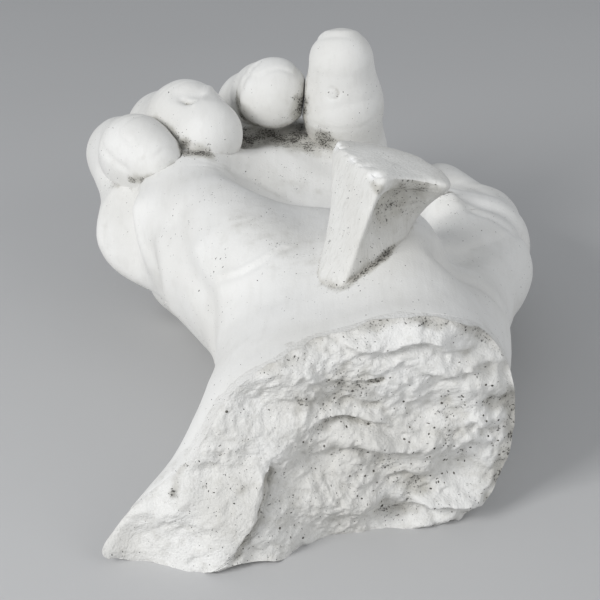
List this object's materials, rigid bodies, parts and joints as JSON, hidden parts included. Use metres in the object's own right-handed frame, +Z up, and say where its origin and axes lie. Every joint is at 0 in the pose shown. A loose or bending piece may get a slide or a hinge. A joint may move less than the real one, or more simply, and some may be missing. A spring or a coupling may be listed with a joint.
{
  "type": "plaster hand cast",
  "caption": "Hollow plaster cast of a right hand lying palm up with curled fingers, broken off roughly at the wrist, with the wedge-shaped stub of a support on the ball of the thumb.",
  "frame": {"origin": "centre of the bounding box in plan, on the plane that the back of the hand rests on", "axes": "+X towards the thumb side, +Y from the broken wrist to the fingertips, +Z up, out of the palm"},
  "size_m": [0.1354, 0.2076, 0.0887],
  "materials": {
    "plaster": "matte off-white cast plaster, slightly soiled",
    "fill_plaster": "rough, unpolished filling plaster",
    "sacking": "coarse jute scrim dipped in plaster",
    "iron": "black iron with rust",
    "wood": "bare softwood"
  },
  "bodies": {
    "root": {"palm_shell": "plaster", "back_shell": "plaster", "wrist_plug": "fill_plaster", "little_finger": "plaster", "little_finger_wire": "iron", "ring_finger": "plaster", "ring_finger_wire": "iron", "middle_finger": "plaster", "middle_finger_wire": "iron", "index_finger": "plaster", "index_finger_wire": "iron", "thumb": "plaster", "thumb_wire": "iron", "strut_stub": "plaster", "strut_dowel": "wood", "armature_bar": "iron", "knuckle_wad": "fill_plaster", "ulnar_seam_scrim": "sacking", "radial_seam_scrim": "sacking"}
  },
  "joints": []
}
